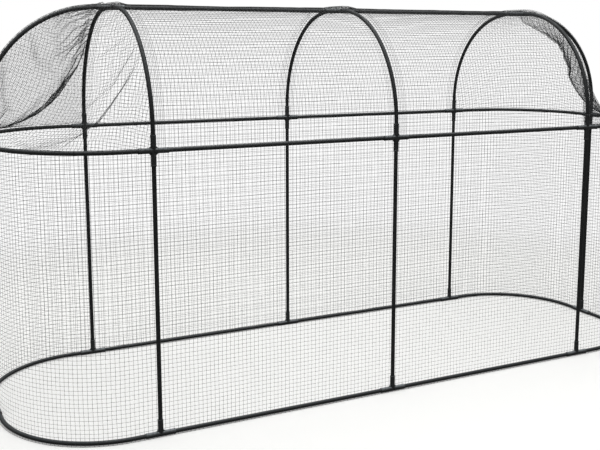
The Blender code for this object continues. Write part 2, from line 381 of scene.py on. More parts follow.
@dataclass(frozen=True)
class MouldedPolypropylene(Finish):
    """Black polypropylene, injection moulded in a spark-eroded tool.

    It gives a dull, slightly greyer black than the tubes, with a fine even grain, and a paler grey
    on what faces up: painted light from above, with some dust.
    """

    name: str = "moulded_polypropylene"
    tones: tuple[str, str] = ("#1a1c1d", "#26292a")
    drift: float = 35 * MM
    drift_detail: float = 4.0
    # The real grain is near 0.2 mm, drawn coarser so that it shows
    relief: float = 0.9 * MM
    relief_height: float = 0.06 * MM
    roughness: float = 0.52
    index: float = 1.49
    # Painted light: what faces up on the fittings is painted a paler grey, with some dust
    dust: Dust | None = Dust("#8f9598", 0.85)

    def pattern(self, tree: NodeTree, place: NodeSocket) -> NodeSocket:
        """Draw the tool's grain."""
        grain = {"Vector": place, "Scale": 1 / self.relief}
        return add_node(tree, "ShaderNodeTexVoronoi", inputs=grain).outputs["Distance"]


@dataclass(frozen=True)
class PolyethyleneThread(Finish):
    """Black high-density polyethylene thread, drawn, twisted and knitted into netting.

    It gives a charcoal line that varies a little from thread to thread, with a twisted lustre.
    """

    name: str = "polyethylene_thread"
    tones: tuple[str, str] = ("#191b1c", "#2c2f31")
    drift: float = 90 * MM
    drift_detail: float = 5.0
    # The real twist is near 1 mm, drawn coarser so that it shows
    relief: float = 3.0 * MM
    relief_height: float = 0.2 * MM
    relief_stray: float = 1.0
    # Bands that the wave pattern draws in each unit of its scale
    bands_per_unit: float = 3.0
    roughness: float = 0.55
    index: float = 1.54

    def pattern(self, tree: NodeTree, place: NodeSocket) -> NodeSocket:
        """Draw the thread's twist.

        Args:
            tree: The material's node tree.
            place: Object coordinates.

        Returns:
            The twist's height.
        """
        return add_node(
            tree,
            "ShaderNodeTexWave",
            {"wave_type": "BANDS", "bands_direction": "DIAGONAL"},
            {
                "Vector": place,
                "Scale": 1 / self.relief / self.bands_per_unit,
                "Distortion": self.relief_stray,
            },
        ).outputs["Fac"]


# Sizes that the pieces share


@dataclass(frozen=True)
class Bend:
    """A quarter bend from the X axis to the Y axis round the origin, with straight ends."""

    reach_x: float
    reach_y: float
    straight: float

    def line(self, steps: int, setback: float = 0.0, offset: float = 0.0) -> list[Vector]:
        """Draw the bend, or a line beside it.

        Args:
            steps: Number of chords in its curve.
            setback: How far short of each axis the line stops.
            offset: How far outwards the line is carried.

        Returns:
            The line's points, in the XY plane.
        """
        radius_x = self.reach_x - self.straight
        radius_y = self.reach_y - self.straight
        points = [Vector((self.reach_x + offset, setback, 0.0))]
        for step in range(steps + 1):
            angle = QUARTER * step / steps
            cos, sin = math.cos(angle), math.sin(angle)
            outwards = Vector((cos / radius_x, sin / radius_y, 0.0)).normalized()
            corner = Vector((self.straight + radius_x * cos, self.straight + radius_y * sin, 0.0))
            points.append(corner + offset * outwards)
        points.append(Vector((setback, self.reach_y + offset, 0.0)))
        return points


@dataclass(frozen=True)
class CageSizes:
    """The cage's driving sizes, to the tubes' centre lines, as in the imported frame."""

    half_width: float = 600 * MM
    bay: float = 1164 * MM
    end_reach: float = 584 * MM
    wall_height: float = 1225.5 * MM
    arch_rise: float = 591 * MM
    tube_radius: float = 9.5 * MM
    tube_wall: float = 1 * MM
    sleeve_radius: float = 12.3 * MM
    sleeve_length: float = 65 * MM
    socket_radius: float = 9.8 * MM
    socket_floor: float = 15.5 * MM
    tube_setback: float = 15.8 * MM
    ring_straight: float = 117 * MM
    arch_straight: float = 68 * MM
    # How far above a tube's centre line the nets meet
    seam_lift: float = 12.3 * MM

    @property
    def base_z(self) -> float:
        """Height of the base ring."""
        return self.sleeve_radius

    @property
    def eaves_z(self) -> float:
        """Height of the eaves ring."""
        return self.base_z + self.wall_height

    @property
    def ridge_z(self) -> float:
        """Height of the ridge."""
        return self.eaves_z + self.arch_rise

    @property
    def ring_bend(self) -> Bend:
        """A rounded end of a ring, along the cage and across it."""
        return Bend(self.end_reach, self.half_width, self.ring_straight)

    @property
    def arch_bend(self) -> Bend:
        """Half an arch, across the cage and upwards."""
        return Bend(self.half_width, self.arch_rise, self.arch_straight)

    @property
    def hoop_bend(self) -> Bend:
        """An end hoop, along the cage and upwards."""
        return Bend(self.end_reach, self.arch_rise, self.arch_straight)

    def perimeter(self) -> Iterator[tuple[str, Vector, Vector]]:
        """Go round the eight fittings of a ring.

        Returns:
            Each one's word, its plan position and the direction of the ring there.
        """
        for side in Side:
            for station in Station:
                spot = Vector((station.value * self.bay, side.value * self.half_width, 0.0))
                yield f"{side.word}_{station.word}", spot, X
        for end in End:
            yield f"end_{end.word}", Vector((end.value * (self.bay + self.end_reach), 0.0, 0.0)), Y


def walk(points: list[Vector], count: int) -> list[Vector]:
    """Space points evenly along a line.

    Args:
        points: The line's points.
        count: Number of equal steps.

    Returns:
        One point more than the number of steps, both ends among them.
    """
    places = np.array(points)
    passed = np.concatenate([[0.0], np.cumsum(np.linalg.norm(np.diff(places, axis=0), axis=1))])
    stops = np.linspace(0.0, passed[-1], count + 1)
    spaced = [np.interp(stops, passed, column) for column in places.T]
    return [Vector(place) for place in zip(*spaced)]


def length_of(points: list[Vector]) -> float:
    """Length of a line of points."""
    return sum((b - a).length for a, b in zip(points, points[1:]))


# Tubes


@dataclass
class TubeFrame:
    """The steel tubes: two rings, eight posts, three arches, a ridge and two hoops."""

    sizes: CageSizes
    sides: int = 24
    bend_steps: int = 28

    def straight(self, start: Vector, stop: Vector) -> list[Vector]:
        """Line between two fittings' centres, set back to their socket floors."""
        back = self.sizes.tube_setback * (stop - start).normalized()
        return [start + back, stop - back]

    def bent(self, bend: Bend, centre: Vector, out: Vector, on: Vector) -> list[Vector]:
        """Place a bend round a centre, in its two directions, set back to the socket floors."""
        flat = bend.line(self.bend_steps, setback=self.sizes.tube_setback)
        return [centre + point.x * out + point.y * on for point in flat]

    def ring_lines(self, prefix: str, height: float) -> Iterator[tuple[str, list[Vector]]]:
        """Go round the eight tubes of one ring.

        Args:
            prefix: The ring's word in a node's name.
            height: Height of the ring.

        Returns:
            Each tube's node and centre line.
        """
        sizes = self.sizes
        for side in Side:
            for end in End:
                middle = Vector((0.0, side.value * sizes.half_width, height))
                corner = middle + end.value * sizes.bay * X
                yield f"{prefix}_rail_{side.word}_{end.word}", self.straight(middle, corner)
                centre = end.value * sizes.bay * X + height * Z
                line = self.bent(sizes.ring_bend, centre, end.value * X, side.value * Y)
                yield f"{prefix}_bend_{side.word}_{end.word}", line

    def lines(self) -> Iterator[tuple[str, list[Vector]]]:
        """Go through all the tubes.

        Returns:
            Each tube's node and centre line.
        """
        sizes = self.sizes
        yield from self.ring_lines("base", sizes.base_z)
        yield from self.ring_lines("eaves", sizes.eaves_z)
        for word, spot, _ in sizes.perimeter():
            yield f"post_{word}", self.straight(spot + sizes.base_z * Z, spot + sizes.eaves_z * Z)
        for station in Station:
            centre = station.value * sizes.bay * X + sizes.eaves_z * Z
            for side in Side:
                line = self.bent(sizes.arch_bend, centre, side.value * Y, Z)
                yield f"arch_{side.word}_{station.word}", line
        for end in End:
            top = sizes.ridge_z * Z
            yield f"ridge_rail_{end.word}", self.straight(top, top + end.value * sizes.bay * X)
            centre = end.value * sizes.bay * X + sizes.eaves_z * Z
            yield f"end_hoop_{end.word}", self.bent(sizes.hoop_bend, centre, end.value * X, Z)

    def skin(self, line: list[Vector]) -> BMesh:
        """Carry a circle along a line, as the outer skin of a tube.

        Args:
            line: The tube's centre line.

        Returns:
            The open skin, faces outwards.
        """
        runs = [(b - a).normalized() for a, b in zip(line, line[1:])]
        headings = [runs[0], *((a + b).normalized() for a, b in zip(runs, runs[1:])), runs[-1]]
        start = Matrix.LocRotScale(line[0], headings[0].to_track_quat("Z", "Y"), None)
        bm = bmesh.new()
        rim = bmesh.ops.create_circle(
            bm, segments=self.sides, radius=self.sizes.tube_radius, matrix=start
        )["verts"]
        edges = list(bm.edges)
        for last, place, old, new in zip(line, line[1:], headings, headings[1:]):
            made = bmesh.ops.extrude_edge_only(bm, edges=edges)["geom"]
            rim = [part for part in made if isinstance(part, BMVert)]
            edges = [
                part
                for part in made
                if isinstance(part, BMEdge) and all(end in rim for end in part.verts)
            ]
            turn = old.rotation_difference(new).to_matrix().to_4x4()
            move = Matrix.Translation(place) @ turn @ Matrix.Translation(-last)
            bmesh.ops.transform(bm, matrix=move, verts=rim)
        bmesh.ops.remove_doubles(bm, verts=bm.verts, dist=WELD)
        bmesh.ops.recalc_face_normals(bm, faces=bm.faces)
        bm.faces.ensure_lookup_table()
        first = bm.faces[0]
        to_skin = first.calc_center_median() - (line[0] + line[1]) / 2
        if first.normal.dot(to_skin) < 0:
            bmesh.ops.reverse_faces(bm, faces=bm.faces)
        for face in bm.faces:
            face.smooth = True
        # Sharp rims, or the cut ends would bend the shading all along the tube
        for edge in bm.edges:
            edge.smooth = not edge.is_boundary
        return bm

    def build(self, material: Material) -> list[Object]:
        """Make every tube, hollow and open at both ends.

        Args:
            material: The tubes' finish.

        Returns:
            The tubes.
        """
        tubes = []
        for node, line in self.lines():
            mesh = mesh_from(self.skin(line), node)
            tube = add_piece(f"steel_{node}", mesh, material, Slot.TUBE, node)
            wall = tube.modifiers.new("wall", "SOLIDIFY")
            wall.thickness = self.sizes.tube_wall
            wall.offset = -1.0
            tubes.append(tube)
        return tubes


# Fittings


@dataclass
class SleeveFittings:
    """Moulded tees and crosses: sleeves with a beaded mouth, joined by a flat web."""

    sizes: CageSizes
    body_radius: float = 11.8 * MM
    bead_width: float = 4.5 * MM
    lip: float = 0.5 * MM
    web_reach: float = 31 * MM
    web_thickness: float = 8 * MM
    web_edge: float = 1.2 * MM
    web_edge_steps: int = 3
    sides: int = 32
    sharp: float = math.radians(38)

    def turned(self, outline: list[tuple[float, float]], along: Vector) -> BMesh:
        """Turn an outline into a closed solid.

        Args:
            outline: Distances along the axis and radii, from one end to the other.
            along: The axis' direction.

        Returns:
            The closed solid.
        """
        bm = bmesh.new()
        corners = [bm.verts.new((radius, 0.0, run)) for run, radius in outline]
        edges = [bm.edges.new(pair) for pair in zip(corners, corners[1:])]
        bmesh.ops.spin(
            bm,
            geom=[*corners, *edges],
            cent=(0.0, 0.0, 0.0),
            axis=Z,
            angle=2 * math.pi,
            steps=self.sides,
            use_merge=True,
        )
        bmesh.ops.remove_doubles(bm, verts=bm.verts, dist=WELD)
        bmesh.ops.recalc_face_normals(bm, faces=bm.faces)
        turn = along.to_track_quat("Z", "Y").to_matrix().to_4x4()
        bmesh.ops.transform(bm, matrix=turn, verts=bm.verts)
        return bm

    def sleeve(self, both_ways: bool, along: Vector) -> BMesh:
        """Turn a sleeve, or two that lie end to end, still solid.

        Args:
            both_ways: Whether there is a sleeve each way from the centre.
            along: The sleeve's direction.

        Returns:
            The closed solid.
        """
        length, lip, bead = self.sizes.sleeve_length, self.lip, self.sizes.sleeve_radius
        mouth = [
            (length - self.bead_width - lip, self.body_radius),
            (length - self.bead_width, bead),
            (length - lip, bead),
            (length, bead - lip),
            (length, 0.0),
        ]
        if both_ways:
            return self.turned([(-run, radius) for run, radius in reversed(mouth)] + mouth, along)
        return self.turned([(0.0, 0.0), (0.0, self.body_radius), *mouth], along)

    def socket(self, along: Vector) -> BMesh:
        """Turn the cutter of one blind socket, with an eased mouth.

        Args:
            along: The socket's direction.

        Returns:
            The closed cutter.
        """
        length, lip, bore = self.sizes.sleeve_length, self.lip, self.sizes.socket_radius
        return self.turned(
            [
                (self.sizes.socket_floor, 0.0),
                (self.sizes.socket_floor, bore),
                (length - lip, bore),
                (length + lip, bore + 2 * lip),
                (length + lip, 0.0),
            ],
            along,
        )

    def web(self, upper_only: bool) -> BMesh:
        """Make the flat web that fills the corners between the sleeves.

        Args:
            upper_only: Whether the web stops at the run's centre line, as on a tee.

        Returns:
            The closed web, with eased edges.
        """
        bm = bmesh.new()
        bmesh.ops.create_cone(
            bm,
            cap_ends=True,
            segments=4,
            radius1=self.web_reach,
            radius2=self.web_reach,
            depth=self.web_thickness,
            matrix=Matrix.Rotation(QUARTER, 4, "X"),
        )
        bmesh.ops.bevel(
            bm,
            geom=list(bm.edges),
            offset=self.web_edge,
            segments=self.web_edge_steps,
            profile=0.5,
            affect="EDGES",
            material=-1,
        )
        if upper_only:
            cut = bmesh.ops.bisect_plane(
                bm,
                geom=[*bm.verts, *bm.edges, *bm.faces],
                plane_co=-self.web_edge * Z,
                plane_no=Z,
                clear_inner=True,
            )["geom_cut"]
            rim = [part for part in cut if isinstance(part, BMEdge)]
            bmesh.ops.contextual_create(bm, geom=rim)
        bmesh.ops.recalc_face_normals(bm, faces=bm.faces)
        return bm

    def moulding(self, name: str, has_lower_arm: bool) -> Mesh:
        """Join the sleeves and the web into one moulding, centred on the origin, upright in XZ.

        Args:
            name: The mesh's name.
            has_lower_arm: Whether a sleeve also points down, as on a cross.

        Returns:
            The moulding's mesh.
        """
        arms = [X, -X, Z, -Z] if has_lower_arm else [X, -X, Z]
        shapes = [
            ("UNION", self.sleeve(True, X)),
            ("UNION", self.sleeve(has_lower_arm, Z)),
            ("UNION", self.web(not has_lower_arm)),
            *(("DIFFERENCE", self.socket(arm)) for arm in arms),
        ]
        solids = []
        for operation, shape in shapes:
            solid = add_object(name, mesh_from(shape, name))
            if solids:
                step = solids[0].modifiers.new(operation, "BOOLEAN")
                step.object = solid
                step.operation = operation
                step.solver = "EXACT"
            solids.append(solid)
        bpy.context.view_layer.update()
        joined = solids[0].evaluated_get(bpy.context.evaluated_depsgraph_get())
        mesh = bpy.data.meshes.new_from_object(joined)
        for solid in solids:
            bpy.data.objects.remove(solid, do_unlink=True)
        bm = bmesh.new()
        bm.from_mesh(mesh)
        bmesh.ops.remove_doubles(bm, verts=bm.verts, dist=WELD)
        return mesh_from(bm, name)

    def build(self, material: Material) -> list[Object]:
        """Make every fitting, each in its place.

        Args:
            material: The fittings' finish.

        Returns:
            The fittings.
        """
        sizes = self.sizes
        tee = self.moulding("tee", False)
        cross = self.moulding("cross", True)
        flat = Matrix.Rotation(-QUARTER, 4, "X")
        fittings = []
        for word, spot, run in sizes.perimeter():
            turn = Matrix.Rotation(QUARTER if run is Y else 0.0, 4, "Z")
            for node, mesh, height in (
                (f"base_tee_{word}", tee, sizes.base_z),
                (f"eaves_cross_{word}", cross, sizes.eaves_z),
            ):
                place = Matrix.Translation(spot + height * Z) @ turn
                fittings.append(self.place(node, mesh, place, material))
        for station in Station:
            spot = Vector((station.value * sizes.bay, 0.0, sizes.ridge_z))
            place = Matrix.Translation(spot) @ flat
            fittings.append(self.place(f"ridge_cross_{station.word}", cross, place, material))
        return fittings

    def place(self, node: str, shape: Mesh, place: Matrix, material: Material) -> Object:
        """Put one copy of a moulding in its place.

        Args:
            node: The CAD node that it stands for.
            shape: The moulding.
            place: Where it goes.
            material: Its finish.

        Returns:
            The fitting.
        """
        mesh = shape.copy()
        mesh.transform(place)
        mesh.shade_smooth()
        mesh.set_sharp_from_angle(angle=self.sharp)
        return add_piece(f"moulded_{node}", mesh, material, Slot.FITTING, node)


# Net


@dataclass(frozen=True)
class Netting:
    """Knitted square netting, and the way that it strays from a true grid."""

    mesh: float = 19 * MM
    thread: float = 1.2 * MM
    wander: tuple[float, float] = (2.2 * MM, 0.8 * MM)
    wander_pitch: tuple[float, float] = (240 * MM, 62 * MM)
    seam_fade: float = 60 * MM
    # How far outside a tube's centre line the nets lie, and the chords in their bends
    seam_offset: float = 13.3 * MM
    bend_steps: int = 48

    def cells(self, length: float) -> int:
        """Number of meshes in a length of netting."""
        return max(1, round(length / self.mesh))

    def over(self, bend: Bend, setback: float = 0.0) -> list[Vector]:
        """Line of the net over a bend of tube, which may stop short of both axes."""
        return bend.line(self.bend_steps, setback, self.seam_offset)

    def stray(self, point: Vector, to_seam: float, batch: float) -> Vector:
        """Find how far a knot strays from its place.

        Args:
            point: The knot's place.
            to_seam: Distance to the nearest seam, where nothing strays.
            batch: A number that sets one panel apart from another.

        Returns:
            The stray.
        """
        held = min(to_seam / self.seam_fade, 1.0)
        total = Vector((0.0, 0.0, 0.0))
        for size, pitch in zip(self.wander, self.wander_pitch):
            total += size * noise.noise_vector(point / pitch + batch * (X + Y + Z))
        return held * total

    def knit(self, bm: BMesh, name: str) -> Mesh:
        """Turn a grid's edges into threads.

        Args:
            bm: The grid, one face for each mesh of the net.
            name: The new mesh's name.

        Returns:
            The threads.
        """
        bmesh.ops.wireframe(
            bm,
            faces=bm.faces,
            thickness=self.thread,
            use_replace=True,
            use_boundary=True,
            use_even_offset=True,
        )
        bmesh.ops.recalc_face_normals(bm, faces=bm.faces)
        mesh = mesh_from(bm, name)
        mesh.shade_smooth()
        return mesh


@dataclass
class NetPanels:
    """The flat and rolled panels of the cover: two side walls, two end walls and the roof."""

    sizes: CageSizes
    netting: Netting
    far_thread: float = 1.0 * MM
    slack_bay: float = 2.4 * MM
    ground_gap: float = 2 * MM
    roof_sag: float = 7 * MM
    crown: float = 4 * MM
    crown_reach: float = 35 * MM
    crown_from: float = 0.9
    wall_batch: float = 3.0
    end_batch: float = 7.0
    roof_batch: float = 11.0
    pleats: int = 3
    pleat_step: float = 8 * MM
    pleat_height: float = 7 * MM

    def panel(
        self,
        name: str,
        around: list[Vector],
        stops: list[float],
        place: Callable[[Vector, int], Vector],
        batch: float,
        thread: float | None = None,
    ) -> Mesh:
        """Lay netting over a line of points, carried along a straight way.

        Args:
            name: The mesh's name.
            around: The line, which the columns of the net stand on.
            stops: Distances of the rows along the straight way.
            place: The knot's place, from its point on the line and its row.
            batch: A number that sets one panel apart from another.
            thread: The thread's width, where it isn't the netting's own.

        Returns:
            The panel's threads.
        """
        netting = replace(self.netting, thread=thread or self.netting.thread)
        columns, rows = netting.cells(length_of(around)), len(stops) - 1
        pitch = length_of(around) / columns
        spots = walk(around, columns)
        bm = bmesh.new()
        bmesh.ops.create_grid(bm, x_segments=columns, y_segments=rows, size=1.0)
        for knot in bm.verts:
            column = round((knot.co.x + 1.0) / 2 * columns)
            row = round((knot.co.y + 1.0) / 2 * rows)
            to_seam = min(
                min(column, columns - column) * pitch, stops[row] - stops[0], stops[-1] - stops[row]
            )
            point = place(spots[column], row)
            knot.co = point + netting.stray(point, to_seam, batch)
        return netting.knit(bm, name)

    def even_stops(self, start: float, stop: float) -> list[float]:
        """Distances one mesh apart, between two that are given."""
        rows = self.netting.cells(stop - start)
        return [start + (stop - start) * row / rows for row in range(rows + 1)]

    def pleated_stops(self) -> list[float]:
        """Space the rows along a roof bay, closer where the net is pleated beside each arch.

        Returns:
            Each row's distance from the middle arch.
        """
        edge = 2 * self.pleats * self.pleat_step
        gathered = [self.pleat_step * fold for fold in range(2 * self.pleats)]
        middle = self.even_stops(edge, self.sizes.bay - edge)
        return gathered + middle + [self.sizes.bay - run for run in reversed(gathered)]

    def bay_slack(self, x: float) -> float:
        """How far the net draws in at a place along the bays, between the fittings."""
        share = abs(x) / self.sizes.bay
        return self.slack_bay * math.sin(math.pi * min(share, 1.0)) ** 2

    def wall(self, side: Side) -> Mesh:
        """Knit one straight side wall.

        Args:
            side: The wall's side.

        Returns:
            Its threads.
        """
        sizes = self.sizes
        y = side.value * (sizes.half_width + self.netting.seam_offset)
        stops = self.even_stops(self.ground_gap, sizes.eaves_z + sizes.seam_lift)

        def place(spot: Vector, row: int) -> Vector:
            """Knot's place, drawn in between the posts."""
            return spot + stops[row] * Z - side.value * self.bay_slack(spot.x) * Y

        line = [Vector((-sizes.bay, y, 0.0)), Vector((sizes.bay, y, 0.0))]
        thread = self.far_thread if side is Side.FAR else None
        batch = self.wall_batch + side.value
        return self.panel(f"wall_{side.word}", line, stops, place, batch, thread)

    def end_wall(self, end: End) -> Mesh:
        """Knit one rounded end wall.

        Args:
            end: The wall's end.

        Returns:
            Its threads.
        """
        sizes = self.sizes
        quarter = self.netting.over(sizes.ring_bend)
        near = [Vector((end.value * (sizes.bay + p.x), -p.y, 0.0)) for p in reversed(quarter)]
        far = [Vector((end.value * (sizes.bay + p.x), p.y, 0.0)) for p in quarter]
        stops = self.even_stops(self.ground_gap, sizes.eaves_z + sizes.seam_lift)

        def place(spot: Vector, row: int) -> Vector:
            """Knot's place straight above the ring."""
            return spot + stops[row] * Z

        batch = self.end_batch + end.value
        return self.panel(f"wall_{end.word}", near + far[1:], stops, place, batch)

    def roof_half(self, end: End) -> Mesh:
        """Knit the roof from the middle arch to one of the others.

        Args:
            end: The end that this half goes to.

        Returns:
            Its threads.
        """
        sizes = self.sizes
        quarter = self.netting.over(sizes.arch_bend, sizes.seam_lift)
        quarter[-1].x = 0.0
        near = [Vector((0.0, -p.x, sizes.eaves_z + p.y)) for p in quarter]
        far = [Vector((0.0, p.x, sizes.eaves_z + p.y)) for p in reversed(quarter)]
        stops = self.pleated_stops()

        def place(spot: Vector, row: int) -> Vector:
            """Place a knot, pleated beside the arches and sagging between them.

            Args:
                spot: The knot's point on the arch.
                row: Its row along the bay.

            Returns:
                The knot's place.
            """
            run = stops[row]
            rise = max((spot.z - sizes.eaves_z) / sizes.arch_rise, 0.0)
            inwards = Vector((0.0, -spot.y, sizes.eaves_z - spot.z)).normalized()
            between_arches = math.sin(math.pi * run / sizes.bay) ** 2
            # A parabola that is 1 halfway up
            haunch = 4 * rise * max(1.0 - rise, 0.0)
            sag = between_arches * (self.slack_bay + self.roof_sag * haunch)
            to_arch = min(run, sizes.bay - run)
            fold = round(to_arch / self.pleat_step)
            if fold < 2 * self.pleats and fold % 2:
                sag -= self.pleat_height * (1.0 - fold / (2 * self.pleats)) * min(2 * rise, 1.0)
            if rise > self.crown_from:
                near_ridge = (rise - self.crown_from) / (1.0 - self.crown_from)
                sag -= self.crown * math.exp(-((to_arch / self.crown_reach) ** 2)) * near_ridge
            return spot + end.value * run * X + sag * inwards

        batch = self.roof_batch + end.value
        return self.panel(f"roof_{end.word}", near + far[1:], stops, place, batch)

    def build(self, material: Material) -> list[Object]:
        """Make the five panels, the roof in two halves that meet at the middle arch.

        Args:
            material: The thread's finish.

        Returns:
            The panels.
        """
        made = []
        for side in Side:
            node = f"net_wall_{side.word}"
            made.append(add_piece(f"thread_{node}", self.wall(side), material, Slot.NET, node))
        for end in End:
            node = f"net_wall_{end.word}"
            made.append(add_piece(f"thread_{node}", self.end_wall(end), material, Slot.NET, node))
        for end in End:
            name = f"thread_net_roof_{end.word}"
            made.append(add_piece(name, self.roof_half(end), material, Slot.NET, "net_roof"))
        return made


@dataclass(frozen=True)
class Pleats:
    """The folds that a gore keeps beside its arch.

    Lean is how far they climb for their length, and lowest the share of the arch's rise under
    which there are none.
    """

    depth: float
    pitch: float
    lean: float
    reach: float
    lowest: float


@dataclass(frozen=True)
class Tuck:
    """A narrow crease between two directions, along which the threads are drawn together.

    Draw is the share of their distance that they cover, and tail how far the crease goes on past
    its stop, as a share of its length.
    """

    start: tuple[float, float, float]
    stop: tuple[float, float, float]
    width: float = 26 * MM
    draw: float = 0.85
    tail: float = 0.1


@dataclass(frozen=True)
class Gore:
    """One side of a dome: where it is, and how much spare netting is gathered into it.

    Gather is the share of a mesh's true width and height that the hung net keeps, before each
    mesh is divided into strands. Fullness is how far the gore is cut out towards a box, and dent
    how deep and how sharply it starts pushed in. Ripple is the depth of its first waves.
    """

    end: End
    side: Side
    seed: int
    gather: tuple[float, float]
    ripple: float
    pleats: Pleats
    fullness: float = 2.4
    dent: tuple[float, float] = (0.0, 1.0)
    strands: int = 1
    tucks: tuple[Tuck, ...] = ()

    @property
    def name(self) -> str:
        """The gore's name."""
        return f"net_dome_{self.end.word}_{self.side.word}"


@dataclass
class DomeNets:
    """The net over both rounded ends of the roof.

    Each dome is two gores, cut full and hung from the arch, the hoop and the eaves, so that the
    spare netting falls inwards in folds.
    """

    sizes: CageSizes
    netting: Netting
    gore_radius: float = 592 * MM
    start_stray: float = 0.3 * MM
    frames: int = 110
    quality: int = 8
    knot_mass: float = 0.02
    stretch: float = 15.0
    squeeze: float = 0.75
    shear: float = 0.5
    bending: float = 0.02
    damping: float = 5.0
    air: float = 2.0
    ease_passes: int = 2
    ease: float = 0.35
    pleat_start: float = 20 * MM
    pleat_hoop: float = 150 * MM
    pleat_fade: float = 0.15
    ripple_pitch: float = 60 * MM
    ripple_reach: float = 300 * MM
    gores: tuple[Gore, ...] = (
        Gore(
            End.LEFT,
            Side.NEAR,
            seed=3,
            gather=(0.8, 0.8),
            ripple=3 * MM,
            pleats=Pleats(4 * MM, 34 * MM, 0.3, 110 * MM, 0.8),
            tucks=(Tuck((0.03, 0.53, 0.37), (0.23, 0.58, 0.13)),),
        ),
        Gore(
            End.LEFT,
            Side.FAR,
            seed=4,
            gather=(1.15, 1.05),
            ripple=9 * MM,
            pleats=Pleats(13 * MM, 40 * MM, 0.6, 130 * MM, 0.55),
            strands=3,
        ),
        Gore(
            End.RIGHT,
            Side.NEAR,
            seed=5,
            gather=(0.6, 0.55),
            fullness=2.5,
            dent=(0.17, 0.12),
            ripple=3 * MM,
            pleats=Pleats(8 * MM, 46 * MM, 0.0, 400 * MM, 0.2),
        ),
        Gore(
            End.RIGHT,
            Side.FAR,
            seed=6,
            gather=(0.85, 0.85),
            ripple=4 * MM,
            pleats=Pleats(1.5 * MM, 50 * MM, 0.0, 90 * MM, 0.5),
        ),
    )

    def seam_lines(self) -> list[np.ndarray]:
        """Draw the three tubes that hold a gore.

        Returns:
            The arch as (y, z), the hoop as (x, z) and the eaves ring as (x, y), from the centre.
        """
        sizes = self.sizes
        return [
            np.array(self.netting.over(bend))[:, :2]
            for bend in (sizes.arch_bend, sizes.hoop_bend, sizes.ring_bend)
        ]

    def full_place(self, heading: np.ndarray, fullness: float) -> np.ndarray:
        """Place of a knot on the full dome, in its direction from the centre.

        Args:
            heading: Unit direction, no part of it below zero.
            fullness: How far the dome is cut out towards a box.

        Returns:
            The knot's place.
        """
        sizes = self.sizes
        reaches = np.array([sizes.end_reach, sizes.half_width, sizes.arch_rise])
        size = reaches + self.netting.seam_offset
        return size * heading / np.sum(heading**fullness) ** (1 / fullness)

    def seam_place(
        self, heading: np.ndarray, seams: list[np.ndarray], fullness: float
    ) -> np.ndarray:
        """Place of a knot on the nearest seam.

        Args:
            heading: Unit direction from the dome's centre.
            seams: The arch, the hoop and the ring.
            fullness: How far the dome is cut out towards a box.

        Returns:
            The knot's place on that tube.
        """
        closest = int(np.argmin(heading))
        first, second = [axis for axis in range(3) if axis != closest]
        flat = heading.copy()
        flat[closest] = 0.0
        full = self.full_place(flat / np.linalg.norm(flat), fullness)
        seam = seams[closest]
        angles = np.arctan2(seam[:, 1], seam[:, 0])
        angle = math.atan2(full[second], full[first])
        place = np.zeros(3)
        place[first] = np.interp(angle, angles, seam[:, 0])
        place[second] = np.interp(angle, angles, seam[:, 1])
        place[2] = max(place[2], self.sizes.seam_lift)
        return place

    def pleat(self, gore: Gore, place: Vector) -> Vector:
        """Find how far a pleat lifts a knot.

        Args:
            gore: The gore.
            place: The knot's place as it hangs.

        Returns:
            The lift, which fades away from the arch and down from the ridge.
        """
        pleats, rise = gore.pleats, self.sizes.arch_rise
        from_seam = min(place.x / self.pleat_start, place.y / self.pleat_hoop, 1.0)
        height = min((place.z / rise - pleats.lowest) / self.pleat_fade, 1.0)
        fade = max(from_seam, 0.0) * max(height, 0.0) * math.exp(-((place.x / pleats.reach) ** 2))
        run = math.atan2(place.y, place.z) * rise + pleats.lean * place.x
        wave = 1.0 + math.sin(2 * math.pi * run / pleats.pitch)
        return pleats.depth * wave * fade * place.normalized()

    def tuck(self, tuck: Tuck, place: Vector) -> Vector:
        """Find how far a crease draws a knot to itself.

        Args:
            tuck: The crease.
            place: The knot's place as it hangs.

        Returns:
            The pull, which fades towards the crease's start.
        """
        start, stop = Vector(tuck.start).normalized(), Vector(tuck.stop).normalized()
        aside = start.cross(stop).normalized()
        along = stop - stop.dot(start) * start
        share = place.normalized().dot(along.normalized()) / along.length
        fade = max(share, 0.0) if share < 1.0 else max(1.0 - (share - 1.0) / tuck.tail, 0.0)
        apart = place.dot(aside)
        near = math.exp(-((apart / tuck.width) ** 2))
        return -tuck.draw * fade * near * apart * aside

    def ripple(self, gore: Gore, place: Vector) -> Vector:
        """Find how far a first wave lifts a knot.

        Args:
            gore: The gore.
            place: The knot's place at the start.

        Returns:
            The lift, which fades away from the arch and down from the ridge.
        """
        run = math.atan2(place.y, place.z) * self.sizes.arch_rise
        fade = math.exp(-((place.x / self.ripple_reach) ** 2))
        fade = fade * (place.z / self.sizes.arch_rise) ** 2
        wave = math.sin(2 * math.pi * run / self.ripple_pitch)
        return gore.ripple * wave * fade * place.normalized()

